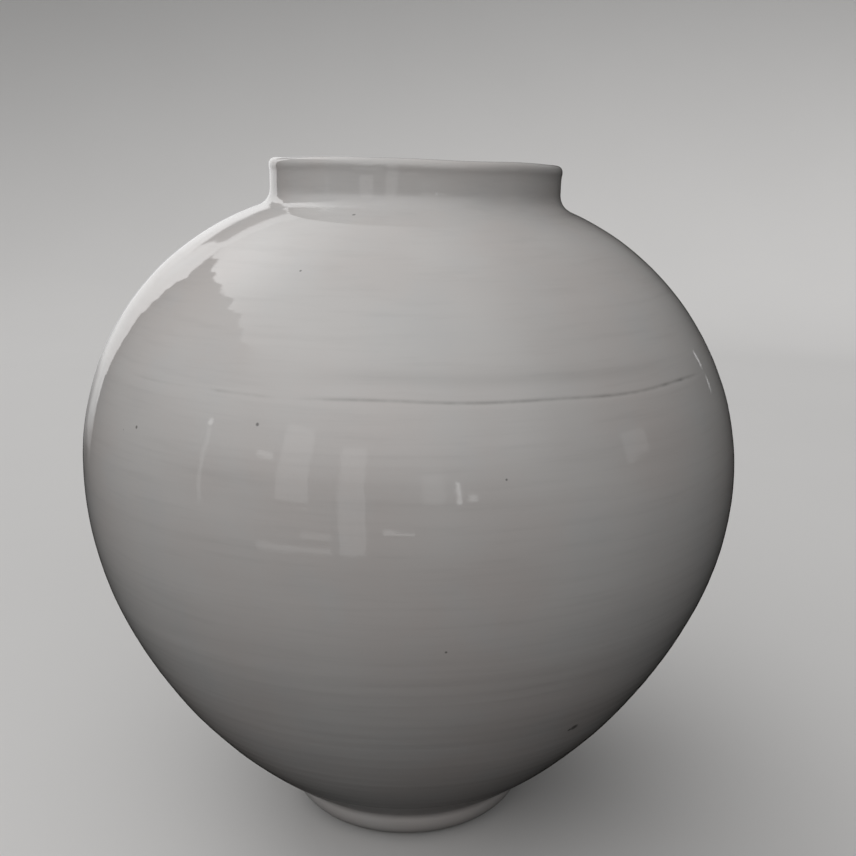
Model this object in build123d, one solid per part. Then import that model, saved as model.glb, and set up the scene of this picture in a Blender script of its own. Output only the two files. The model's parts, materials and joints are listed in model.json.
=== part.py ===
from build123d import *

import os
from math import atan2, cos, degrees, radians, sin, sqrt, tan

# A moon jar: two thrown bowls luted lip to lip, with a luted collar and foot ring, glazed inside and out.
# Sizes are in millimetres and degrees. The origin is the middle of the foot's resting face, +Z is up,
# the jar's front looks along -Y and +X is on its right.

# Clay body, outside: three arcs that run into each other
belly_radius = 224.2  # at the widest ring; the glaze makes the jar 450 across
shoulder_arc = 185.3  # from the widest ring up to the neck
hip_arc = 346.9  # the flatter curve down to the foot
hip_start = 23.1  # how far below the widest ring the flatter curve begins

# Clay body, inside
belly_wall = 8.0
shoulder_wall = 7.0
base_thickness = 13.0
floor_bend = 70.0  # the arc between the inner floor and the wall

# Belly joint: bevelled lips on a tilted ring, with slip between them
seam_rise = 80.0  # above the widest ring
seam_tilt = 0.9  # lower on the right
seam_bevel = 25.0
seam_bead = 4.0  # the ridge of slip that was pressed out on the inside

# Neck: a collar that stands a little off the middle and leans with the shoulder
collar_radius = 97.6
collar_wall = 6.5
collar_height = 28.0  # from the shoulder to the crest of the lip
lip_roll = 0.7  # how far the round lip stands out from the collar's wall
collar_shift = 7.0  # to the right
collar_tilt = 1.6  # lower on the right
neck_fillet = 9.0  # slip smoothed into the corner round the collar
slip_feather = 0.3  # how deep the fillet's edge runs out into the shoulder

# Foot: a ring that curves in to its resting face, hollow underneath
foot_radius = 65.5  # outer edge of the resting face
foot_land = 9.0  # width of the resting face
foot_flare = 21.5  # how much wider the ring is at its top
foot_height = 25.0
recess_depth = 13.0
recess_draft = 3.0  # how much narrower the recess is at its ceiling

# Slip and glaze
slip_thickness = 1.2
glaze_thickness = 0.8
glaze_line = 3.0  # the foot is bare clay up to here

# Arc centres of the outside, as (radius, height), counted up from the foot
foot_top_radius = foot_radius + foot_flare
hip_reach = hip_arc - belly_radius
hip_center_r = -hip_reach * cos(radians(hip_start))
hip_center_z = foot_height + sqrt(hip_arc**2 - (foot_top_radius - hip_center_r) ** 2)
belly_z = hip_center_z - hip_reach * sin(radians(hip_start))
shoulder_center_r = belly_radius - shoulder_arc

# Arc centres of the inside
inner_shoulder_arc = shoulder_arc - shoulder_wall
inner_shoulder_r = belly_radius - belly_wall - inner_shoulder_arc
inner_hip_arc = hip_arc - belly_wall
bend_center_z = recess_depth + base_thickness + floor_bend
bend_reach = inner_hip_arc - floor_bend
bend_center_r = hip_center_r + sqrt(bend_reach**2 - (hip_center_z - bend_center_z) ** 2)
bend_end = degrees(atan2(bend_center_z - hip_center_z, bend_center_r - hip_center_r))

# Collar, in its own leaning frame on the shoulder
collar_bore = collar_radius - collar_wall
lip_middle = collar_radius - collar_wall / 2
lip_radius = collar_wall / 2 + lip_roll
lip_center_z = collar_height - lip_radius
shoulder_z = belly_z + sqrt(shoulder_arc**2 - (collar_radius - shoulder_center_r) ** 2)
collar_place = Location((collar_shift, 0, shoulder_z), (0, collar_tilt, 0))
crown_radius = collar_bore / 2  # inside the mouth, where the shoulder is cut away

# Belly joint, in its own tilted frame
seam_radius = shoulder_center_r + sqrt(shoulder_arc**2 - seam_rise**2)
seam_inner_radius = inner_shoulder_r + sqrt(inner_shoulder_arc**2 - seam_rise**2)
seam_place = Location((0, 0, belly_z + seam_rise), (0, seam_tilt, 0))

# Foot ring's outer side: an arc that is upright at the top
foot_arc = (foot_flare**2 + foot_height**2) / (2 * foot_flare)
foot_center_r = foot_top_radius - foot_arc


def spin(*edges):
    """Turns a closed outline of (radius, height) edges into a solid about the upright axis."""
    return revolve(Plane.XZ * make_face(edges), Axis.Z)


def arc(center_r, center_z, radius, start, end):
    return CenterArc((center_r, center_z), radius, start, end - start)


def arc_angle(center_r, radius, r):
    """The angle above level at which an arc reaches the given distance from the axis."""
    return degrees(atan2(sqrt(radius**2 - (r - center_r) ** 2), r - center_r))


def chain(*points):
    return Polyline(*points).edges()


def body(grow):
    """The jar's outside without collar and foot, filled, grown by a coat of the given thickness."""
    hip = hip_arc + grow
    shoulder = shoulder_arc + grow
    low_z = recess_depth - grow
    low_r = hip_center_r + sqrt(hip**2 - (hip_center_z - low_z) ** 2)
    hip_end = degrees(atan2(low_z - hip_center_z, low_r - hip_center_r))
    crown = arc_angle(shoulder_center_r, shoulder, crown_radius)
    crown_z = belly_z + shoulder * sin(radians(crown))
    return spin(
        arc(hip_center_r, hip_center_z, hip, hip_end, -hip_start),
        arc(0, belly_z, belly_radius + grow, -hip_start, 0),
        arc(shoulder_center_r, belly_z, shoulder, 0, crown),
        *chain((crown_radius, crown_z), (0, crown_z), (0, low_z), (low_r, low_z)),
    )


def hollow(coat):
    """The space inside the clay, less a coat of the given thickness, without the mouth."""
    hip = inner_hip_arc - coat
    shoulder = inner_shoulder_arc - coat
    bend = floor_bend - coat
    low_z = bend_center_z - bend
    crown = arc_angle(inner_shoulder_r, shoulder, crown_radius)
    crown_z = belly_z + shoulder * sin(radians(crown))
    return spin(
        arc(bend_center_r, bend_center_z, bend, -90, bend_end),
        arc(hip_center_r, hip_center_z, hip, bend_end, -hip_start),
        arc(0, belly_z, belly_radius - belly_wall - coat, -hip_start, 0),
        arc(inner_shoulder_r, belly_z, shoulder, 0, crown),
        *chain((crown_radius, crown_z), (0, crown_z), (0, low_z), (bend_center_r, low_z)),
    )


def lip_start(wall_r, radius):
    """The angle on the round lip where it meets the collar's wall."""
    side = wall_r - lip_middle
    return degrees(atan2(-sqrt(radius**2 - side**2), side))


def mouth(coat):
    """The bore through collar and shoulder, up to the lip's crest, less a coat of the given thickness."""
    radius = lip_radius + coat
    wall_r = collar_bore - coat
    start = lip_start(wall_r, radius) + 360
    wall_z = lip_center_z + radius * sin(radians(start))
    low_z = -collar_height
    top_z = collar_height + glaze_thickness
    crest = collar_height + coat
    rise = [Line((lip_middle, crest), (lip_middle, top_z))] if crest < top_z else []
    plug = spin(
        *chain((lip_middle, top_z), (0, top_z), (0, low_z), (wall_r, low_z), (wall_r, wall_z)),
        arc(lip_middle, lip_center_z, radius, start, 90),
        *rise,
    )
    return collar_place * plug


def collar_outside(coat):
    """The collar's outside and lip, filled, grown by a coat of the given thickness."""
    wall_r = collar_radius + coat
    radius = lip_radius + coat
    start = lip_start(wall_r, radius)
    wall_z = lip_center_z + radius * sin(radians(start))
    low_z = -collar_height
    crest = collar_height + coat
    solid = spin(
        *chain((lip_middle, crest), (0, crest), (0, low_z), (wall_r, low_z), (wall_r, wall_z)),
        arc(lip_middle, lip_center_z, radius, start, 90),
    )
    return collar_place * solid


def neck_corner(coat):
    """The fillet between collar and shoulder, a ring round the collar, grown by a coat."""
    wall_r = collar_radius + coat
    fillet = neck_fillet - coat
    center_r = collar_radius + neck_fillet
    span = center_r - shoulder_center_r
    rise = sqrt((shoulder_arc + neck_fillet) ** 2 - span**2) - slip_feather
    center_z = belly_z + rise - shoulder_z
    turn = degrees(atan2(rise, span)) + 180
    edge_r = center_r + fillet * cos(radians(turn))
    edge_z = center_z + fillet * sin(radians(turn))
    low_z = -collar_height
    ring = spin(
        arc(center_r, center_z, fillet, turn, 180),
        *chain((wall_r, center_z), (wall_r, low_z), (edge_r, low_z), (edge_r, edge_z)),
    )
    return collar_place * ring


def collar_ring():
    """The collar's own wall and lip, running on down through the shoulder."""
    start = lip_start(collar_radius, lip_radius)
    wall_z = lip_center_z + lip_radius * sin(radians(start))
    low_z = -collar_height
    ring = spin(
        *chain((collar_bore, wall_z), (collar_bore, low_z), (collar_radius, low_z), (collar_radius, wall_z)),
        arc(lip_middle, lip_center_z, lip_radius, start, 180 - start),
    )
    return collar_place * ring


def lip_core():
    """What lies inside the lip's crest, where the outer and the inner glaze meet."""
    core_height = 2 * collar_height + glaze_thickness
    core = Cylinder(lip_middle, core_height, align=(Align.CENTER, Align.CENTER, Align.MIN))
    return collar_place * Pos(0, 0, -collar_height) * core


def foot_side(coat, low_z):
    """The foot's outside from a height up to the body, filled, grown by a coat."""
    side = foot_arc + coat
    low_r = foot_center_r + sqrt(side**2 - (foot_height - low_z) ** 2)
    low_angle = degrees(atan2(low_z - foot_height, low_r - foot_center_r))
    return spin(
        arc(foot_center_r, foot_height, side, low_angle, 0),
        *chain((foot_top_radius + coat, foot_height), (0, foot_height), (0, low_z), (low_r, low_z)),
    )


def recess(coat, low_z):
    """The hollow under the foot from a height up to the ceiling, less a coat."""
    slope = recess_draft / recess_depth
    edge_r = foot_radius - foot_land - coat * sqrt(1 + slope**2)
    top_z = recess_depth - coat
    low_r = edge_r - slope * low_z
    top_r = edge_r - slope * top_z
    return spin(*chain((0, low_z), (low_r, low_z), (top_r, top_z), (0, top_z), (0, low_z)))


def outside(coat):
    """All that the outer glaze covers, filled, grown by a coat of the given thickness."""
    return body(coat) + collar_outside(coat) + neck_corner(coat) + foot_side(coat, glaze_line)


def seam_side(lift, far_z):
    """All that lies on one side of the bevelled belly joint, raised by the given lift."""
    reach = 2 * belly_radius
    slope = tan(radians(seam_bevel))
    axis_z = lift - seam_radius * slope
    rim_z = axis_z + reach * slope
    side = spin(*chain((0, axis_z), (reach, rim_z), (reach, far_z), (0, far_z), (0, axis_z)))
    return seam_place * side


def seam_ridge(coat):
    return seam_place * Torus(seam_inner_radius, seam_bead + coat)


# The clay wall before it is parted at the belly
clay = body(0)
coated_in_slip = body(slip_thickness)
inside = hollow(0) + mouth(0)
wall = clay - inside
below_seam = seam_side(0, -2 * belly_radius)
above_seam = seam_side(slip_thickness / cos(radians(seam_bevel)), 2 * belly_radius)

lower_bowl = wall & below_seam
upper_bowl = wall & above_seam
belly_slip = wall - below_seam - above_seam + (seam_ridge(0) & inside)

# The collar is scribed to the shoulder, and slip fills the joint and the corner outside it
neck_collar = collar_ring() - coated_in_slip
neck_slip = neck_corner(0) + (collar_ring() & coated_in_slip) - clay

# The foot ring is scribed to the bowl's underside in the same way
foot_blank = foot_side(0, 0) - recess(0, 0)
foot_ring = foot_blank - coated_in_slip
foot_slip = (foot_blank & coated_in_slip) - clay

# The glaze is a coat over all of it, apart from the foot's resting face
outer_glaze = outside(glaze_thickness) - outside(0) - lip_core()
glazed_inside = hollow(glaze_thickness) + mouth(glaze_thickness)
inner_glaze = (inside - seam_ridge(0)) - (glazed_inside - seam_ridge(glaze_thickness))
recess_glaze = recess(0, glaze_line) - recess(glaze_thickness, glaze_line)

pieces = {
    "lower_bowl": lower_bowl,
    "upper_bowl": upper_bowl,
    "belly_slip": belly_slip,
    "neck_collar": neck_collar,
    "neck_slip": neck_slip,
    "foot_ring": foot_ring,
    "foot_slip": foot_slip,
    "outer_glaze": outer_glaze,
    "inner_glaze": inner_glaze,
    "recess_glaze": recess_glaze,
}

os.makedirs("parts", exist_ok=True)
for name, shape in pieces.items():
    export_step(shape, f"parts/{name}.step")
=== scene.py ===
import json
from math import acos, asin, atan2, cos, pi, radians, sin, sqrt, tan

import bpy
import numpy as np
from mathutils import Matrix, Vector

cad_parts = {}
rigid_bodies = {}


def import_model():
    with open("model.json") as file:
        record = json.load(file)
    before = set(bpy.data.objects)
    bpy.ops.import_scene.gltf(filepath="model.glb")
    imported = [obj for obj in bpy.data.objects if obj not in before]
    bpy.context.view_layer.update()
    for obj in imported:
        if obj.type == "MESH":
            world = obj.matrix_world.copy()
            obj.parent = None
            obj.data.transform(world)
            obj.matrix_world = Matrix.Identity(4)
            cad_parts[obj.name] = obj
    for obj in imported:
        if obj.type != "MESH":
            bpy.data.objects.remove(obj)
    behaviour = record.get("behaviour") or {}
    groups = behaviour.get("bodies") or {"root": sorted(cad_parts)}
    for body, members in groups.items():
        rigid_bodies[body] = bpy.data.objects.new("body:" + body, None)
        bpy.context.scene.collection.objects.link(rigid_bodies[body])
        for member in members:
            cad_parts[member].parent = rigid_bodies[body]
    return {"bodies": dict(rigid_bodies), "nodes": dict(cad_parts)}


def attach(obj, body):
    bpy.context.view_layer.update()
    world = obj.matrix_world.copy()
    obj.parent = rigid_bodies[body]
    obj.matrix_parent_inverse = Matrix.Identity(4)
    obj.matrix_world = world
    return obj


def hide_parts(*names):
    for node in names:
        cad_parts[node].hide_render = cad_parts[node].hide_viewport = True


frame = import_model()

# A moon jar in white glaze, in metres and radians. The origin is the middle of the foot's resting face,
# +Z is up, the front looks along -Y. An azimuth is counted from the front, towards +X.
packed = [*frame["nodes"].values(), *frame["bodies"].values()]
for leftover in [o for o in bpy.data.objects if o not in packed]:
    bpy.data.objects.remove(leftover)
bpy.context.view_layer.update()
rng = np.random.default_rng(1750)

# Clay body, as the solids have it
belly_radius = 0.2242
shoulder_arc = 0.1853
hip_arc = 0.3469
hip_start = radians(23.1)
belly_wall = 0.008
shoulder_wall = 0.007
base_thickness = 0.013
floor_bend = 0.070
seam_rise = 0.080
seam_tilt = radians(0.9)
seam_bead = 0.004
collar_radius = 0.0976
collar_wall = 0.0065
collar_height = 0.028
lip_roll = 0.0007
collar_shift = 0.007
collar_tilt = radians(1.6)
neck_fillet = 0.009
foot_radius = 0.0655
foot_land = 0.009
foot_flare = 0.0215
foot_height = 0.025
recess_depth = 0.013
recess_draft = 0.003
slip_thickness = 0.0012
glaze_thickness = 0.0008
glaze_line = 0.003

# Arc centres, as (radius, height)
foot_top_radius = foot_radius + foot_flare
hip_reach = hip_arc - belly_radius
hip_center_r = -hip_reach * cos(hip_start)
hip_center_z = foot_height + sqrt(hip_arc**2 - (foot_top_radius - hip_center_r) ** 2)
belly_z = hip_center_z - hip_reach * sin(hip_start)
shoulder_center_r = belly_radius - shoulder_arc
inner_shoulder_arc = shoulder_arc - shoulder_wall
inner_shoulder_r = belly_radius - belly_wall - inner_shoulder_arc
inner_hip_arc = hip_arc - belly_wall
bend_center_z = recess_depth + base_thickness + floor_bend
bend_reach = inner_hip_arc - floor_bend
bend_center_r = hip_center_r + sqrt(bend_reach**2 - (hip_center_z - bend_center_z) ** 2)
bend_end = atan2(bend_center_z - hip_center_z, bend_center_r - hip_center_r)
foot_arc = (foot_flare**2 + foot_height**2) / (2 * foot_flare)
foot_center_r = foot_top_radius - foot_arc

# Collar and belly joint
collar_bore = collar_radius - collar_wall
lip_middle = collar_radius - collar_wall / 2
lip_radius = collar_wall / 2 + lip_roll
lip_center_z = collar_height - lip_radius
shoulder_z = belly_z + sqrt(shoulder_arc**2 - (collar_radius - shoulder_center_r) ** 2)
seam_z = belly_z + seam_rise
seam_slope = cos(asin(seam_rise / shoulder_arc))  # height gained along the wall at the joint

# Mesh grain
row_step = 0.0012
seam_step = 0.0004
seam_reach = 0.006  # the finer rings lie within this height of the joint
outer_columns = 384
inner_columns = 192
back_ratio = 4  # columns of a skin's front for each one of its hidden back
bake_map = "OFBake"

# Throwing and drying marks
bow_reach = 0.0034  # how far the belly leans to the right of foot and mouth
bow_height = 0.235
bow_spread = 0.115
lip_square = 2.3  # the lip is trimmed a little squarer than round
foot_fillet = 0.005  # glaze gathered in the corner between body and foot
seam_dashes = (-29.9, 31.2, 45.6, 50.6)  # azimuths in degrees where the joint shows darkest
seam_dash_width = radians(0.9)
groove_width = 0.0010  # of the joint's line in the glaze
groove_depth = 0.00016
swell_height = 0.00008  # of the wiped slip on both sides of the joint
fine_rings = (0.0026, 0.006)  # shortest and longest wave along the outer wall
broad_rings = (0.009, 0.024)
soft_dents = (0.03, 0.09)
finger_pitch = 0.011  # between the throwing rings inside
finger_depth = 0.00022
inner_fillet = 0.004  # between shoulder and collar, in the mouth
neck_ring_r = 0.150  # outside it the shoulder is true to the axis
inner_ring_r = 0.130  # the same inside
skin_share = 0.8  # of the glaze's thickness that its closed skin has
last_ring_r = 0.0005  # where a skin that closes in the middle ends


def waves(along, azimuth, lengths, turns, count):
    """A seeded sum of waves of about unit height, by distance along the wall and by azimuth."""
    total = np.zeros(np.broadcast(along, azimuth).shape)
    for _ in range(count):
        length = np.exp(rng.uniform(np.log(lengths[0]), np.log(lengths[1])))
        turn = rng.integers(-turns, turns + 1)
        total += np.cos(2 * pi * along / length + turn * azimuth + rng.uniform(0, 2 * pi))
    return total / sqrt(count / 2)


def hump(value, middle, width):
    """A bell of unit height."""
    return np.exp(-(((value - middle) / width) ** 2))


def settle(points):
    """Bends points of the true round jar to the one that leaned a little in the kiln."""
    x, y, z = np.moveaxis(points, -1, 0)
    bow = bow_reach * hump(z, bow_height, bow_spread)
    return np.stack((x + bow, y, z), axis=-1)


def smooth_step(t):
    t = np.clip(t, 0, 1)
    return t * t * (3 - 2 * t)


def between(value, start, end, soft):
    """One between start and end, running out to nothing over the soft width at both ends."""
    return smooth_step((value - start) / soft + 0.5) * smooth_step((end - value) / soft + 0.5)


def around(columns):
    return np.linspace(-pi, pi, columns, endpoint=False)


def ring(azimuth, radius, height):
    """One ring of points, whose radius and height may change with the azimuth."""
    azimuth, radius, height = np.broadcast_arrays(azimuth, radius, height)
    return np.stack((radius * np.sin(azimuth), -radius * np.cos(azimuth), height), axis=-1)


def in_collar(points):
    """From the collar's own frame to the jar's."""
    x, y, z = np.moveaxis(points, -1, 0)
    c, s = cos(collar_tilt), sin(collar_tilt)
    return np.stack((x * c + z * s + collar_shift, y, z * c - x * s + shoulder_z), axis=-1)


def arc_points(center_r, center_z, radius, start, end, step):
    """Points (radius, height) along an arc at about the given step, without its last one."""
    count = max(2, int(np.ceil(radius * abs(end - start) / step)))
    angle = np.linspace(start, end, count, endpoint=False)
    return np.column_stack((center_r + radius * np.cos(angle), center_z + radius * np.sin(angle)))


def bezier(start, corner, end, count):
    """Points on a curve that rounds a corner, without its two ends."""
    t = np.linspace(0, 1, count + 2)[1:-1]
    t = t.reshape((-1,) + (1,) * np.ndim(start))
    return (1 - t) ** 2 * start + 2 * t * (1 - t) * corner + t**2 * end


def shoulder_height(radius, center_r, arc):
    return belly_z + np.sqrt(arc**2 - (radius - center_r) ** 2)


def wall_foot(azimuth, wall_r, center_r, arc):
    """Height in the collar's frame at which an upright wall meets the shoulder, for each azimuth."""
    height = np.zeros_like(azimuth)
    for _ in range(5):
        x, y, z = np.moveaxis(in_collar(ring(azimuth, wall_r, height)), -1, 0)
        height = height + shoulder_height(np.hypot(x, y), center_r, arc) - z
    return height


def lip_wobble(azimuth):
    """The lip is pinched by hand, so that its crest rises and falls a little."""
    slow = 0.00035 * np.cos(2 * azimuth + 0.4)
    return slow + 0.00025 * np.cos(5 * azimuth + 2.0) + 0.00012 * np.cos(9 * azimuth)


def lip_rows(azimuth, side, coat, wall_end):
    """Rings from the lip's crest down the collar's wall: side is 1 outside and -1 in the mouth."""
    radius = lip_radius + coat
    wall = collar_wall / 2 + coat
    turn = pi / 2 + acos(wall / radius)
    angles = pi / 2 - np.linspace(0, turn, 26)
    out, up = np.cos(angles), np.sin(angles)
    plump = (np.abs(out) ** lip_square + np.abs(up) ** lip_square) ** (-1 / lip_square)
    curve = np.column_stack((radius * plump * out, lip_center_z + radius * plump * up))
    low = curve[-1, 1]
    wobble = lip_wobble(azimuth)
    rows = [ring(azimuth, lip_middle + side * r, z + wobble) for r, z in curve]
    for t in np.linspace(0, 1, 14)[1:]:
        height = low * (1 - t) + wall_end * t + wobble * (1 - smooth_step(t))
        rows.append(ring(azimuth, lip_middle + side * wall, height))
    rows = np.array(rows)
    # The crease between lip and wall is wiped soft.
    for _ in range(10):
        rows[1:-1] = 0.5 * rows[1:-1] + 0.25 * (rows[:-2] + rows[2:])
    return in_collar(rows)


def neck_rows(azimuth, wall_r, center_r, arc, corner, end_r, step):
    """Rings that round the corner between the collar and the shoulder, out to a ring about the axis."""
    foot = wall_foot(azimuth, wall_r, center_r, arc)
    corner_points = in_collar(ring(azimuth, wall_r, foot))
    target = ring(azimuth, end_r, 0.0)
    reach = np.linalg.norm((target - corner_points)[:, :2], axis=1)

    def on_shoulder(t):
        point = corner_points + (target - corner_points) * t[:, None]
        point[:, 2] = shoulder_height(np.hypot(point[:, 0], point[:, 1]), center_r, arc)
        return point

    start = abs(corner) / reach
    lift = in_collar(ring(azimuth, wall_r, foot + corner))
    edge = on_shoulder(start)
    count = int(np.ceil(np.mean(reach) / step))
    flat = [on_shoulder(start + (1 - start) * t) for t in np.linspace(0, 1, count, endpoint=False)]
    return foot, [*bezier(lift, corner_points, edge, 10), *flat]


def grid_normals(rows):
    down = np.gradient(rows, axis=0)
    side = np.roll(rows, -1, axis=1) - np.roll(rows, 1, axis=1)
    normal = np.cross(down, side)
    return normal / np.maximum(np.linalg.norm(normal, axis=-1, keepdims=True), 1e-12)


def run_length(rows):
    """Distance along the wall from the first ring, the mean of all columns, one value for each ring."""
    steps = np.linalg.norm(np.diff(rows, axis=0), axis=-1).mean(axis=1)
    return np.concatenate(([0.0], np.cumsum(steps)))[:, None]


def grid_faces(first, shape, flip):
    """Quads of a grid of closed rings, from the vertex with the given number on, and their UV corners."""
    rows, columns = shape
    i, j = np.mgrid[0 : rows - 1, 0:columns]
    corners = [(i, j), (i + 1, j), (i + 1, j + 1), (i, j + 1)]
    if flip:
        corners.reverse()
    faces = np.stack([first + a * columns + b % columns for a, b in corners], axis=-1).reshape(-1, 4)
    uv = np.stack([np.stack((b / columns, 1 - a / (rows - 1)), axis=-1) for a, b in corners], axis=2)
    return faces.tolist(), uv.reshape(-1, 2)


def end_faces(front, back, ratio, flip):
    """Flat faces that join the last ring of a skin's front to the coarser one of its back."""
    count = len(back)
    faces = []
    for k in range(count):
        fine = [front[(k * ratio + m) % len(front)] for m in range(ratio + 1)]
        face = fine + [back[(k + 1) % count], back[k]]
        faces.append(face[::-1] if flip else face)
    return faces


def skin(name, front, back, material, inward=False, closed=False, marks=None):
    """A closed shell: a fine front, a coarse back that nothing shows, and flat ends between them.

    A closed skin comes together in the middle at its last ring, and has a lid there instead of an end."""
    rows, columns = front.shape[:2]
    back_rows, back_columns = back.shape[:2]
    ratio = columns // back_columns
    split = rows * columns
    faces, uv = grid_faces(0, (rows, columns), inward)
    back_faces, back_uv = grid_faces(split, (back_rows, back_columns), not inward)
    first, last = np.arange(columns), np.arange(columns) + split - columns
    back_first = np.arange(back_columns) + split
    back_last = back_first + (back_rows - 1) * back_columns
    ends = end_faces(first.tolist(), back_first.tolist(), ratio, inward)
    if closed:
        lids = [last.tolist(), back_last[::-1].tolist()]
        ends += [lid[::-1] for lid in lids] if inward else lids
    else:
        ends += end_faces(last.tolist(), back_last.tolist(), ratio, not inward)
    smooth = [True] * (len(faces) + len(back_faces)) + [False] * len(ends)

    mesh = bpy.data.meshes.new(name)
    points = np.concatenate((front.reshape(-1, 3), back.reshape(-1, 3)))
    mesh.from_pydata(points.tolist(), [], faces + back_faces + ends)
    mesh.polygons.foreach_set("use_smooth", smooth)
    # The front fills most of the bake's map, the back a strip beside it and the ends a corner.
    end_uv = np.full((sum(map(len, ends)), 2), 0.999)
    end_uv[:, 0] = np.linspace(0.985, 0.999, len(end_uv))
    layer = mesh.uv_layers.new(name=bake_map)
    spread = np.concatenate((uv * (0.90, 0.98) + 0.004, back_uv * (0.06, 0.90) + (0.915, 0.004), end_uv))
    layer.uv.foreach_set("vector", spread.astype(np.float32).ravel())
    for mark, values in (marks or {}).items():
        layer = mesh.attributes.new(mark, "FLOAT", "POINT")
        padded = np.concatenate((values.ravel(), np.zeros(len(points) - split)))
        layer.data.foreach_set("value", padded.astype(np.float32))
    mesh.materials.append(material)
    obj = bpy.data.objects.new(name, mesh)
    bpy.context.scene.collection.objects.link(obj)
    return obj


def join_in(piece, node):
    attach(piece, "root")
    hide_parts(node)


def coarse(rows, offset, columns_ratio, row_ratio):
    """A skin's back: every few rings and columns of the front, moved by the offset against the normal."""
    picked = sorted({*range(0, len(rows), row_ratio), len(rows) - 1})
    moved = rows - offset * grid_normals(rows)
    return moved[picked][:, ::columns_ratio]


# Outer glaze


def body_rows(azimuth, coat):
    """Rings down the body from the shoulder to the foot's corner, closer together round the belly joint."""
    shoulder = shoulder_arc + coat
    start = acos((neck_ring_r - shoulder_center_r) / shoulder)
    seam_high = asin((seam_rise + seam_reach) / shoulder)
    seam_low = asin((seam_rise - seam_reach) / shoulder)
    corner_r, corner_z = foot_corner(coat)
    corner_angle = atan2(corner_z - hip_center_z, corner_r - hip_center_r)
    hip_end = corner_angle + foot_fillet / hip_arc
    profile = np.vstack(
        (
            arc_points(shoulder_center_r, belly_z, shoulder, start, seam_high, row_step),
            arc_points(shoulder_center_r, belly_z, shoulder, seam_high, seam_low, seam_step),
            arc_points(shoulder_center_r, belly_z, shoulder, seam_low, 0, row_step),
            arc_points(0, belly_z, belly_radius + coat, 0, -hip_start, row_step),
            arc_points(hip_center_r, hip_center_z, hip_arc + coat, -hip_start, hip_end, row_step),
        )
    )
    return [ring(azimuth, r, z) for r, z in profile]


def foot_side_r(z, coat):
    return foot_center_r + np.sqrt((foot_arc + coat) ** 2 - (z - foot_height) ** 2)


def foot_corner(coat):
    """Where the body runs into the foot."""
    lowest = foot_height - 0.006
    z = np.linspace(lowest, foot_height, 600)
    hip_r = hip_center_r + np.sqrt((hip_arc + coat) ** 2 - (hip_center_z - z) ** 2)
    k = np.argmin(np.abs(hip_r - foot_side_r(z, coat)))
    return hip_r[k], z[k]


def foot_rows(azimuth, coat):
    """Rings round the corner between body and foot and down to the glaze's rolled, uneven edge."""
    corner_r, corner_z = foot_corner(coat)
    angle = atan2(corner_z - hip_center_z, corner_r - hip_center_r) + foot_fillet / hip_arc
    hip = hip_arc + coat
    high = np.array((hip_center_r + hip * cos(angle), hip_center_z + hip * sin(angle)))
    low_z = corner_z - foot_fillet
    low = np.array((foot_side_r(low_z, coat), low_z))
    corner = bezier(high, np.array((corner_r, corner_z)), low, 12)
    rows = [ring(azimuth, *high)] + [ring(azimuth, r, z) for r, z in corner]
    edge_z = glaze_line + 0.0005 * np.cos(3 * azimuth + 1) + 0.0004 * np.cos(8 * azimuth) + 0.0003
    for t in np.linspace(0, 1, 14):
        z = low_z * (1 - t) + (edge_z + coat) * t
        rows.append(ring(azimuth, foot_side_r(z, coat), z))
    for turn in np.linspace(0, pi / 2, 6)[1:]:
        z = edge_z + coat * (1 - sin(turn))
        rows.append(ring(azimuth, foot_side_r(z, coat * cos(turn)), z))
    return rows


def seam_strength(azimuth):
    """How plainly the belly joint shows through the glaze, round the jar."""
    plain = between(azimuth, radians(-13), radians(56), radians(10))
    faint = between(azimuth, radians(-49), radians(-15), radians(6))
    behind = 1 - between(azimuth, radians(-70), radians(75), radians(30))
    uneven = 0.82 + 0.18 * np.cos(11 * azimuth + 0.7) * np.cos(4 * azimuth + 2.1)
    broken = smooth_step(0.5 + np.cos(17 * azimuth + 1.0) + 0.6 * np.cos(29 * azimuth))
    dashes = sum(hump(azimuth, radians(at), seam_dash_width) for at in seam_dashes)
    return 0.06 + 0.9 * plain * uneven + 0.2 * faint * broken + 0.35 * behind * uneven + 0.6 * dashes


def outer_detail(rows, azimuth):
    """Height of the marks on the outside above the true form, and how dark each mark shows."""
    length = run_length(rows)
    z = rows[..., 2]
    angle = np.broadcast_to(azimuth, z.shape)
    on_body = between(z, 0.045, shoulder_z - 0.012, 0.03)
    lower = 1 - smooth_step((z - 0.20) / 0.10)
    # Heights of the rings in millimetres, larger on the lower half
    fine = waves(length, angle, fine_rings, 1, 12) * (0.004 + 0.005 * lower)
    broad = waves(length, angle, broad_rings, 1, 9) * (0.012 + 0.004 * lower)
    soft = waves(length, angle, soft_dents, 4, 14) * 0.05
    height = 0.001 * (fine + broad + soft) * on_body

    wander = 0.0006 * np.cos(5 * angle + 0.3) + 0.0004 * np.cos(13 * angle + 1.2)
    from_seam = (z - (seam_z - rows[..., 0] * tan(seam_tilt)) - wander) / seam_slope
    strength = seam_strength(angle)
    groove = hump(from_seam, 0.0, groove_width) * strength
    swell = hump(from_seam, -0.005, 0.005) - hump(from_seam, 0.008, 0.006)
    height += swell_height * swell * (0.4 + 0.6 * strength) - groove_depth * groove
    band = hump(from_seam, 0.0125, 0.004) * between(angle, radians(-12), radians(45), radians(20))
    return height, {"seam_line": groove, "soft_band": band}


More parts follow.
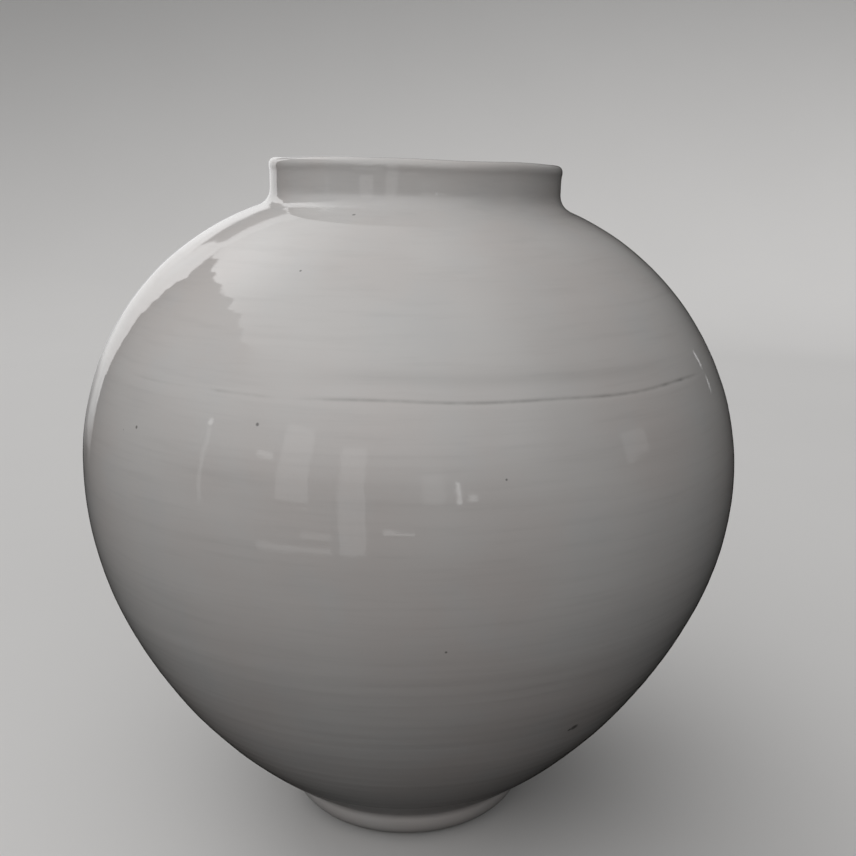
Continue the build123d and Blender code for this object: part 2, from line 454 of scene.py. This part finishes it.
def make_outer_glaze(material):
    azimuth = around(outer_columns)
    wall_r = collar_radius + glaze_thickness
    arc = shoulder_arc + glaze_thickness
    foot, neck = neck_rows(azimuth, wall_r, shoulder_center_r, arc, neck_fillet, neck_ring_r, row_step)
    lip = lip_rows(azimuth, 1, glaze_thickness, foot + neck_fillet)
    body = body_rows(azimuth, glaze_thickness)
    rows = np.array([*lip, *neck, *body, *foot_rows(azimuth, glaze_thickness)])
    height, marks = outer_detail(rows, azimuth)
    back = coarse(rows, skin_share * glaze_thickness, back_ratio, back_ratio)
    front = rows + height[..., None] * grid_normals(rows)
    return skin("jar_outer_glaze", settle(front), settle(back), material, marks=marks)


# Inner glaze


def inner_rows(azimuth, coat):
    """Rings inside, from the neck down the wall and over the floor to its middle."""
    shoulder = inner_shoulder_arc - coat
    start = acos((inner_ring_r - inner_shoulder_r) / shoulder)
    bend = floor_bend - coat
    floor_z = bend_center_z - bend
    step = 2 * row_step
    profile = np.vstack(
        (
            arc_points(inner_shoulder_r, belly_z, shoulder, start, 0, row_step),
            arc_points(0, belly_z, belly_radius - belly_wall - coat, 0, -hip_start, step),
            arc_points(hip_center_r, hip_center_z, inner_hip_arc - coat, -hip_start, bend_end, step),
            arc_points(bend_center_r, bend_center_z, bend, bend_end, -pi / 2, step),
            [(r, floor_z) for r in np.arange(bend_center_r, last_ring_r, -step)],
        )
    )
    return [ring(azimuth, r, z) for r, z in profile]


def inner_detail(rows, azimuth):
    """Throwing rings left by the fingers, and the ridge of slip at the belly joint."""
    length = run_length(rows)
    z = rows[..., 2]
    angle = np.broadcast_to(azimuth, z.shape)
    radius = np.hypot(rows[..., 0], rows[..., 1])
    on_wall = (1 - smooth_step((z - 0.40) / 0.04)) * smooth_step(radius / 0.03)
    rings = np.cos(2 * pi * length / finger_pitch + angle + 0.8 * np.cos(angle)) * finger_depth
    height = (rings + 0.0001 * waves(length, angle, (0.006, 0.05), 2, 10)) * on_wall
    from_seam = (z - (seam_z - rows[..., 0] * tan(seam_tilt))) / seam_slope
    bead = np.sqrt(np.clip(1 - (from_seam / (seam_bead + glaze_thickness)) ** 2, 0, 1))
    uneven = 0.85 + 0.1 * np.cos(7 * angle) + 0.05 * np.cos(19 * angle + 1)
    return height + seam_bead * bead * uneven


def make_inner_glaze(material):
    azimuth = around(inner_columns)
    wall_r = collar_bore - glaze_thickness
    arc = inner_shoulder_arc - glaze_thickness
    foot, neck = neck_rows(azimuth, wall_r, inner_shoulder_r, arc, inner_fillet, inner_ring_r, row_step)
    lip = lip_rows(azimuth, -1, glaze_thickness, foot + inner_fillet)
    rows = np.array([*lip, *neck, *inner_rows(azimuth, glaze_thickness)])
    height = inner_detail(rows, azimuth)
    inside = -grid_normals(rows)
    back = coarse(rows, -skin_share * glaze_thickness, back_ratio, back_ratio)
    front = rows + height[..., None] * inside
    return skin("jar_inner_glaze", settle(front), settle(back), material, inward=True, closed=True)


# Foot


def make_recess_glaze(material):
    """The coat under the jar, on the recess's ceiling and side."""
    azimuth = around(inner_columns)
    slope = recess_draft / recess_depth
    edge_r = foot_radius - foot_land - glaze_thickness
    top_z = recess_depth - glaze_thickness
    edge_z = glaze_line + 0.0004 * np.cos(4 * azimuth)
    round_r = 0.003
    roll = 0.0005
    spiral_pitch = 0.006
    spiral_depth = 0.0001
    skin_depth = 0.7 * glaze_thickness
    side = []
    for t in (0.1, 0.7, 1):
        roll_r = edge_r + glaze_thickness * (1 - t) - slope * edge_z
        side.append(ring(azimuth, roll_r, edge_z + roll * t**2))
    wall_z = [edge_z + roll + (top_z - round_r - edge_z - roll) * t for t in np.linspace(0.1, 1, 8)]
    side += [ring(azimuth, edge_r - slope * z, z) for z in wall_z]
    top_r = edge_r - slope * top_z
    low = np.array((edge_r - slope * (top_z - round_r), top_z - round_r))
    corner = bezier(low, np.array((top_r, top_z)), np.array((top_r - round_r, top_z)), 8)
    ceiling = np.linspace(top_r - round_r, last_ring_r, 40)
    top = [*corner, *[(r, top_z) for r in ceiling]]
    rows = np.array(side + [ring(azimuth, r, z) for r, z in top])
    length = run_length(rows)
    angle = np.broadcast_to(azimuth, rows.shape[:2])
    on_ceiling = smooth_step((length - 0.014) / 0.006)
    spiral = np.cos(2 * pi * length / spiral_pitch + angle) * spiral_depth * on_ceiling
    # The grid's normals are turned to point down into the recess.
    down = grid_normals(rows)
    down *= -np.sign(down[-1, 0, 2])
    back = rows[:, ::back_ratio] - skin_depth * down[:, ::back_ratio]
    front = rows + spiral[..., None] * down
    return skin("jar_recess_glaze", settle(front), settle(back), material, inward=True, closed=True)


def make_foot_ring(material):
    """The bare foot: worn round edges, a slightly uneven resting face and turned sides."""
    azimuth = around(outer_columns)
    wear = 0.0016
    chip_depth = 0.00008
    inner_r = foot_radius - foot_land
    slope = recess_draft / recess_depth
    body = hip_arc + slip_thickness
    top_z = recess_depth - slip_thickness
    bowl_r = hip_center_r + sqrt(body**2 - (hip_center_z - top_z) ** 2)
    outer_z = foot_height - 2 * slip_thickness
    outer = [(float(foot_side_r(z, 0)), z) for z in np.linspace(outer_z, 3 * wear, 12)]
    low_out = np.array((float(foot_side_r(2 * wear, 0)), 2 * wear))
    edge_out = bezier(low_out, np.array((foot_radius, 0.0)), np.array((foot_radius - wear, 0.0)), 8)
    face = [(r, 0.0) for r in np.linspace(foot_radius - wear, inner_r + wear, 12)]
    low_in = np.array((inner_r - slope * wear, wear))
    edge_in = bezier(np.array((inner_r + wear, 0.0)), np.array((inner_r, 0.0)), low_in, 6)
    inner = [(inner_r - slope * z, z) for z in np.linspace(wear, top_z, 6)]
    flat = [(r, top_z) for r in np.linspace(inner_r - slope * top_z, bowl_r, 4)[1:]]
    start = atan2(top_z - hip_center_z, bowl_r - hip_center_r)
    end = atan2(outer_z - hip_center_z, foot_top_radius - hip_center_r)
    under = arc_points(hip_center_r, hip_center_z, body, start, end, 0.004)[1:]
    profile = [*outer, tuple(low_out), *edge_out, *face, *edge_in, *inner, *flat, *under]
    rows = np.array([ring(azimuth, r, z) for r, z in profile])
    angle = np.broadcast_to(azimuth, rows.shape[:2])
    bare = 1 - smooth_step((rows[..., 2] - glaze_line) / 0.004)
    chips = waves(run_length(rows), angle, (0.004, 0.02), 40, 30) * chip_depth
    rows[..., 2] += np.abs(chips) * bare
    mesh = bpy.data.meshes.new("jar_foot_ring")
    count = len(profile)
    closed = np.concatenate((rows, rows[:1]))
    faces, uv = grid_faces(0, closed.shape[:2], False)
    faces = [[v % (count * outer_columns) for v in face] for face in faces]
    mesh.from_pydata(settle(rows).reshape(-1, 3).tolist(), [], faces)
    mesh.shade_smooth()
    layer = mesh.uv_layers.new(name=bake_map)
    layer.uv.foreach_set("vector", (uv * 0.98 + 0.01).astype(np.float32).ravel())
    mesh.materials.append(material)
    obj = bpy.data.objects.new("jar_foot_ring", mesh)
    bpy.context.scene.collection.objects.link(obj)
    return obj


# Clay and slip under the glaze: the solids, bent like the rest


def make_hidden(node, material):
    mesh = frame["nodes"][node].data.copy()
    points = np.empty(len(mesh.vertices) * 3, np.float32)
    mesh.vertices.foreach_get("co", points)
    bent = settle(points.reshape(-1, 3).astype(float))
    mesh.vertices.foreach_set("co", bent.astype(np.float32).ravel())
    mesh.materials.clear()
    mesh.materials.append(material)
    mesh.update()
    obj = bpy.data.objects.new("jar_" + node, mesh)
    bpy.context.scene.collection.objects.link(obj)
    return obj


# Materials


class Nodes:
    """A short way to lay out the nodes of a material or of the room's light."""

    def __init__(self, owner, coordinates="Object", shader="Principled BSDF"):
        owner.use_nodes = True
        self.owner = owner
        self.tree = owner.node_tree
        self.shader = self.tree.nodes[shader]
        self.place = self.add("ShaderNodeTexCoord").outputs[coordinates]

    def add(self, kind, values=(), **settings):
        node = self.tree.nodes.new(kind)
        for key, value in settings.items():
            setattr(node, key, value)
        for socket, value in dict(values).items():
            self.put(node.inputs[socket], value)
        return node

    def put(self, socket, value):
        """Links a node's output to a socket, or sets the socket to a constant."""
        if isinstance(value, bpy.types.NodeSocket):
            self.tree.links.new(value, socket)
        else:
            socket.default_value = value

    def math(self, operation, a, b=0.0):
        return self.add("ShaderNodeMath", {0: a, 1: b}, operation=operation).outputs[0]

    def vector(self, operation, a, b=(0, 0, 0), scale=1.0):
        node = self.add("ShaderNodeVectorMath", {0: a, 1: b, 3: scale}, operation=operation)
        return node.outputs["Value" if operation in ("DISTANCE", "DOT_PRODUCT") else "Vector"]

    def noise(self, place, scale, detail=3.0, roughness=0.5):
        values = {"Vector": place, "Scale": scale, "Detail": detail, "Roughness": roughness}
        return self.add("ShaderNodeTexNoise", values).outputs["Fac"]

    def span(self, value, low, high, to_low=0.0, to_high=1.0):
        values = {"Value": value, "From Min": low, "From Max": high, "To Min": to_low, "To Max": to_high}
        return self.add("ShaderNodeMapRange", values, interpolation_type="SMOOTHSTEP").outputs["Result"]

    def mix(self, factor, a, b):
        return self.add("ShaderNodeMix", {0: factor, 6: a, 7: b}, data_type="RGBA").outputs[2]

    def mark(self, name):
        return self.add("ShaderNodeAttribute", attribute_name=name).outputs["Fac"]

    def wheel_place(self, turn_radius):
        """Places that change slowly round the jar and quickly with height, for marks of the wheel."""
        parts = self.add("ShaderNodeSeparateXYZ", {0: self.place}).outputs
        flat = self.add("ShaderNodeCombineXYZ", {0: parts[0], 1: parts[1]}).outputs[0]
        turn = self.vector("SCALE", self.vector("NORMALIZE", flat), scale=turn_radius)
        height = self.add("ShaderNodeCombineXYZ", {2: parts[2]}).outputs[0]
        return self.vector("ADD", turn, height)

    def bump(self, height, distance, normal=None):
        values = {"Height": height, "Distance": distance, "Strength": 1.0}
        if normal is not None:
            values["Normal"] = normal
        return self.add("ShaderNodeBump", values).outputs["Normal"]

    def finish(self, **sockets):
        for name, value in sockets.items():
            self.put(self.shader.inputs[name.replace("_", " ")], value)
        return self.owner


def new_material(name):
    return Nodes(bpy.data.materials.new(name))


# Iron specks and pinholes in the glaze: azimuth, height and radius
specks = (
    (radians(-46.1), 0.3154, 0.0011),
    (radians(-22.2), 0.3273, 0.0011),
    (radians(-21.9), 0.4037, 0.0008),
    (radians(13.1), 0.3012, 0.0007),
    (radians(4.7), 0.2058, 0.0008),
    (radians(32.8), 0.1238, 0.0016),
    (radians(33.8), 0.1248, 0.0030),
    (radians(-16.2), 0.4330, 0.0012),
)

glaze_white = (0.672, 0.655, 0.640, 1)
glaze_warm = (0.648, 0.609, 0.588, 1)
glaze_cool = (0.642, 0.634, 0.627, 1)
iron_grey = (0.10, 0.095, 0.09, 1)
clay_blush = (0.50, 0.40, 0.30, 1)
clay_white = (0.60, 0.56, 0.50, 1)
clay_grit = (0.20, 0.17, 0.14, 1)
slip_dark = (0.52, 0.47, 0.40, 1)
slip_light = (0.58, 0.54, 0.48, 1)
floor_greys = ((0.74, 0.73, 0.72, 1), (0.77, 0.76, 0.75, 1))


def outside_point(azimuth, z):
    """The place on the glazed outside at an azimuth and height."""
    if z > belly_z:
        radius = shoulder_center_r + sqrt((shoulder_arc + glaze_thickness) ** 2 - (z - belly_z) ** 2)
    else:
        hip_r = hip_center_r + sqrt((hip_arc + glaze_thickness) ** 2 - (z - hip_center_z) ** 2)
        belly_r = sqrt((belly_radius + glaze_thickness) ** 2 - (z - belly_z) ** 2)
        radius = hip_r if z < hip_center_z - hip_arc * sin(hip_start) else belly_r
    return settle(ring(np.array(azimuth), radius, z))


def glaze_material(name, with_marks):
    """Milky feldspar glaze: soft colour drifts, faint wheel streaks, sparse specks and an uneven gloss."""
    n = new_material(name)
    drift = n.noise(n.place, 7.0, 3.0)
    cloud = n.noise(n.vector("ADD", n.place, (3.1, 1.7, 0.4)), 22.0, 4.0)
    streak = n.noise(n.wheel_place(0.012), 260.0, 3.0, 0.6)
    long_streak = n.noise(n.wheel_place(0.006), 90.0, 2.0)
    color = n.mix(n.span(drift, 0.35, 0.65), glaze_white, glaze_warm)
    color = n.mix(n.math("MULTIPLY", n.span(cloud, 0.45, 0.75), 0.6), color, glaze_cool)
    shade = n.math("MULTIPLY", n.span(streak, 0.45, 0.8), 0.06)
    shade = n.math("ADD", shade, n.math("MULTIPLY", long_streak, 0.03))
    cell = n.add("ShaderNodeTexVoronoi", {"Vector": n.place, "Scale": 55.0})
    chosen = n.span(n.add("ShaderNodeSeparateColor", {0: cell.outputs["Color"]}).outputs[0], 0.93, 0.97)
    dot = n.span(cell.outputs["Distance"], 0.018, 0.035, 1.0, 0.0)
    shade = n.math("MAXIMUM", shade, n.math("MULTIPLY", n.math("MULTIPLY", chosen, dot), 0.35))
    if with_marks:
        depth = n.span(n.noise(n.place, 120.0), 0.3, 0.65, 0.26, 0.42)
        seam = n.math("MULTIPLY", n.mark("seam_line"), depth)
        band = n.math("MULTIPLY", n.mark("soft_band"), 0.10)
        shade = n.math("MAXIMUM", n.math("ADD", shade, band), seam)
        for azimuth, z, radius in specks:
            away = n.vector("DISTANCE", n.place, tuple(outside_point(azimuth, z)))
            shade = n.math("MAXIMUM", shade, n.span(away, 0.4 * radius, 1.3 * radius, 0.75, 0.0))
    color = n.mix(shade, color, iron_grey)
    peel = n.noise(n.place, 420.0, 2.0)
    ripple = n.noise(n.wheel_place(0.010), 190.0, 3.0)
    normal = n.bump(ripple, 0.00003)
    normal = n.bump(peel, 0.000008, normal)
    gloss = n.span(n.noise(n.place, 35.0, 4.0), 0.3, 0.7, 0.02, 0.06)
    height = n.add("ShaderNodeSeparateXYZ", {0: n.place}).outputs[2]
    gloss = n.math("MAXIMUM", gloss, n.span(height, foot_height + 0.010, foot_height + 0.045, 0.45, 0.0))
    return n.finish(Base_Color=color, Roughness=gloss, IOR=1.55, Normal=normal)


def clay_material(name, dark, light, rough):
    """Fired clay without glaze: fine grit, turning lines and a warm blush of the kiln."""
    n = new_material(name)
    grit = n.noise(n.place, 900.0, 4.0, 0.7)
    blush = n.noise(n.place, 45.0, 3.0)
    turned = n.noise(n.wheel_place(0.02), 500.0, 2.0)
    color = n.mix(n.span(blush, 0.35, 0.7), light, dark)
    color = n.mix(n.math("MULTIPLY", n.span(grit, 0.55, 0.75), 0.4), color, clay_grit)
    normal = n.bump(turned, 0.0002)
    normal = n.bump(grit, 0.00012, normal)
    return n.finish(Base_Color=color, Roughness=n.span(grit, 0.3, 0.7, rough, rough + 0.15), Normal=normal)


# The jar

outer_material = glaze_material("white_glaze", True)
inner_material = glaze_material("white_glaze_inside", False)
porcelain = clay_material("porcelain_clay", clay_blush, clay_white, 0.70)
luting_slip = clay_material("luting_slip", slip_dark, slip_light, 0.75)

join_in(make_outer_glaze(outer_material), "outer_glaze")
join_in(make_inner_glaze(inner_material), "inner_glaze")
join_in(make_recess_glaze(inner_material), "recess_glaze")
join_in(make_foot_ring(porcelain), "foot_ring")
for node in ("lower_bowl", "upper_bowl", "neck_collar"):
    join_in(make_hidden(node, porcelain), node)
for node in ("belly_slip", "neck_slip", "foot_slip"):
    join_in(make_hidden(node, luting_slip), node)


# Studio


def make_floor():
    """A pale round floor whose rim sweeps up into a backdrop on all sides."""
    bend_from = 2.2
    bend_r = 1.2
    top_z = 4.0
    columns = 96
    angles = np.linspace(0, pi / 2, 24)
    profile = [(bend_from * t, 0.0) for t in (0.02, 0.25, 0.5, 0.75)]
    profile += [(bend_from + bend_r * sin(a), bend_r * (1 - cos(a))) for a in angles]
    profile += [(bend_from + bend_r, top_z)]
    rows = np.array([ring(around(columns), r, z) for r, z in profile])
    faces, _ = grid_faces(0, rows.shape[:2], True)
    faces.append(list(range(columns)))
    mesh = bpy.data.meshes.new("studio_floor")
    mesh.from_pydata(rows.reshape(-1, 3).tolist(), [], faces)
    mesh.shade_smooth()
    n = new_material("studio_floor")
    color = n.mix(n.noise(n.place, 3.0), *floor_greys)
    mesh.materials.append(n.finish(Base_Color=color, Roughness=0.8))
    floor = bpy.data.objects.new("studio_floor", mesh)
    bpy.context.scene.collection.objects.link(floor)
    # Only the camera sees the floor, so that no bounce lifts the jar's shaded underside.
    floor.visible_diffuse = False
    floor.visible_glossy = False
    floor.visible_shadow = False


# Brightness of the room's light by direction
sky_level = 0.61
glow_level = 1.4
left_level = 0.97
front_level = 0.05
window_level = 1.0
pane_level = 0.8
right_dark = 0.88
post_dark = 0.75
glow_focus = 14.0
left_focus = 2.0
edge_noise = 0.13  # how ragged the glaze mirrors the edges of skylight and window
pane_noise = 0.04
pane_side_soft = 0.01
pane_end_soft = 0.02
glow_from = (-0.60, 0.46, 0.65)  # high on the left, a little behind the jar
left_from = (-0.66, -0.66, 0.36)
right_from = (0.90, 0.43, 0.0)  # the dark end of the room
skylight_side = (0.718, -0.007, 0.696)  # the skylight lies on this side of a slanting edge
window_sides = ((0.110, 0.631, -0.767), (0.743, 0.669, 0.0))  # upper and left edge of a window behind

# Panes of the room's other windows: azimuths in degrees, sines of the elevations, brightness
panes = (
    (-72.6, -71.6, 0.294, 0.306, 3.0),
    (-72.0, -71.0, -0.10, 0.26, 0.7),
    (-51.0, -46.0, 0.243, 0.249, 1.5),
    (-43.0, -33.0, -0.03, 0.42, 0.8),
    (-51.0, -26.0, -0.33, -0.28, 0.8),
    (-35.0, -26.0, -0.20, -0.18, 0.6),
    (-22.5, -14.5, -0.33, 0.34, 0.8),
    (-8.0, 1.0, -0.152, -0.138, 1.5),
    (4.0, 10.5, 0.0, 0.21, 0.5),
    (15.0, 15.8, 0.0, 0.16, 3.0),
    (18.5, 21.0, 0.03, 0.09, 1.6),
    (76.0, 86.0, 0.10, 0.22, 0.5),
    (135.2, 135.9, 0.025, 0.035, 1.0),
    (135.2, 135.9, 0.09, 0.125, 1.1),
)


def make_room_light():
    """Soft light from a skylight overhead, a window behind on the left and the panes of other windows."""
    n = Nodes(bpy.data.worlds.new("room_light"), "Generated", "Background")

    def along(direction):
        return n.vector("DOT_PRODUCT", n.place, direction)

    def toward(direction, power):
        return n.math("POWER", n.math("MAXIMUM", along(direction), 0.0), power)

    def times(*values):
        product = values[0]
        for value in values[1:]:
            product = n.math("MULTIPLY", product, value)
        return product

    def within(value, low, high, soft):
        return times(n.span(value, low - soft, low), n.span(value, high, high + soft, 1.0, 0.0))

    ragged = n.add("ShaderNodeTexNoise", {"Vector": n.place, "Scale": 9.0, "Detail": 3.0}).outputs["Color"]
    ragged = n.vector("SUBTRACT", ragged, (0.5, 0.5, 0.5))
    uneven = n.vector("ADD", n.place, n.vector("SCALE", ragged, scale=pane_noise))
    ragged = n.vector("ADD", n.place, n.vector("SCALE", ragged, scale=edge_noise))
    right, back, height = n.add("ShaderNodeSeparateXYZ", {0: ragged}).outputs
    above = n.span(along((0, 0, 1)), 0.02, 0.40)
    edges = [n.vector("DOT_PRODUCT", ragged, side) for side in (skylight_side, *window_sides)]
    # The skylight's edge is soft in front of the jar and sharp behind it.
    width = n.span(back, -0.35, -0.10, 0.25, 0.006)
    ramp = {0: edges[0], 1: n.math("MULTIPLY", width, -1.0), 2: width}
    skylight = n.add("ShaderNodeMapRange", ramp).outputs[0]
    back_window = n.span(n.math("MINIMUM", edges[1], edges[2]), -0.006, 0.006)
    lit = n.span(along(right_from), 0.15, 0.60, 1.0, 1.0 - right_dark)
    sky = n.math("ADD", times(toward(glow_from, glow_focus), glow_level), sky_level)
    room = times(sky, n.math("MAXIMUM", skylight, back_window))
    room = n.math("ADD", room, times(toward(left_from, left_focus), left_level))
    room = n.math("ADD", room, times(toward((0, -1, 0), 1.0), front_level))
    # The left part of the window reaches below the horizon.
    window = times(back_window, n.span(right, -0.12, 0.0, 1.0, 0.0), n.span(height, -0.24, 0.02))
    window = times(window, n.span(height, 0.05, 0.50, 1.0, 0.2), window_level)
    room = n.math("ADD", times(room, above), window)
    # A dark post stands before the window.
    post = times(within(right, -0.41, -0.13, 0.03), n.span(back, 0.4, 0.5))
    post = times(post, n.span(height, 0.28, 0.33), n.span(height, 0.46, 0.50, 1.0, 0.0))
    room = times(room, n.math("SUBTRACT", 1.0, times(post, post_dark)))
    strength = times(room, lit)
    right, back, height = n.add("ShaderNodeSeparateXYZ", {0: uneven}).outputs
    azimuth = n.math("ARCTAN2", right, n.math("MULTIPLY", back, -1.0))
    for start, end, low, high, level in panes:
        across = within(azimuth, radians(start), radians(end), pane_side_soft)
        upright = within(height, low, high, pane_end_soft)
        strength = n.math("ADD", strength, times(across, upright, level * pane_level))
    bpy.context.scene.world = n.finish(Color=(1, 1, 1, 1), Strength=strength)


def make_fill_light():
    """A large soft lamp behind on the right, for the side of the jar that the room leaves dark."""
    place = Vector((0.7, 2.0, 0.8))
    aim = Vector((0, 0, 0.25))
    data = bpy.data.lights.new("fill_light", "AREA")
    data.shape = "DISK"
    data.size = 1.6
    data.energy = 9.0
    lamp = bpy.data.objects.new("fill_light", data)
    lamp.location = place
    lamp.rotation_euler = (aim - place).to_track_quat("-Z", "Y").to_euler()
    lamp.visible_camera = False
    lamp.visible_glossy = False
    lit = bpy.data.collections.new("lit_by_fill")
    for obj in bpy.context.scene.objects:
        if obj.name.startswith("jar_"):
            lit.objects.link(obj)
    lamp.light_linking.receiver_collection = lit
    bpy.context.scene.collection.objects.link(lamp)


def make_camera():
    look_down = radians(13.10)
    look_right = radians(1.2)
    data = bpy.data.cameras.new("camera")
    data.sensor_width = 36.0
    data.lens = 45.77
    camera = bpy.data.objects.new("camera", data)
    camera.location = (0, -0.760, 0.4560)
    camera.rotation_euler = (pi / 2 - look_down, 0, -look_right)
    bpy.context.scene.collection.objects.link(camera)
    bpy.context.scene.camera = camera


make_floor()
make_room_light()
make_fill_light()
make_camera()
bpy.context.scene.view_settings.view_transform = "Standard"
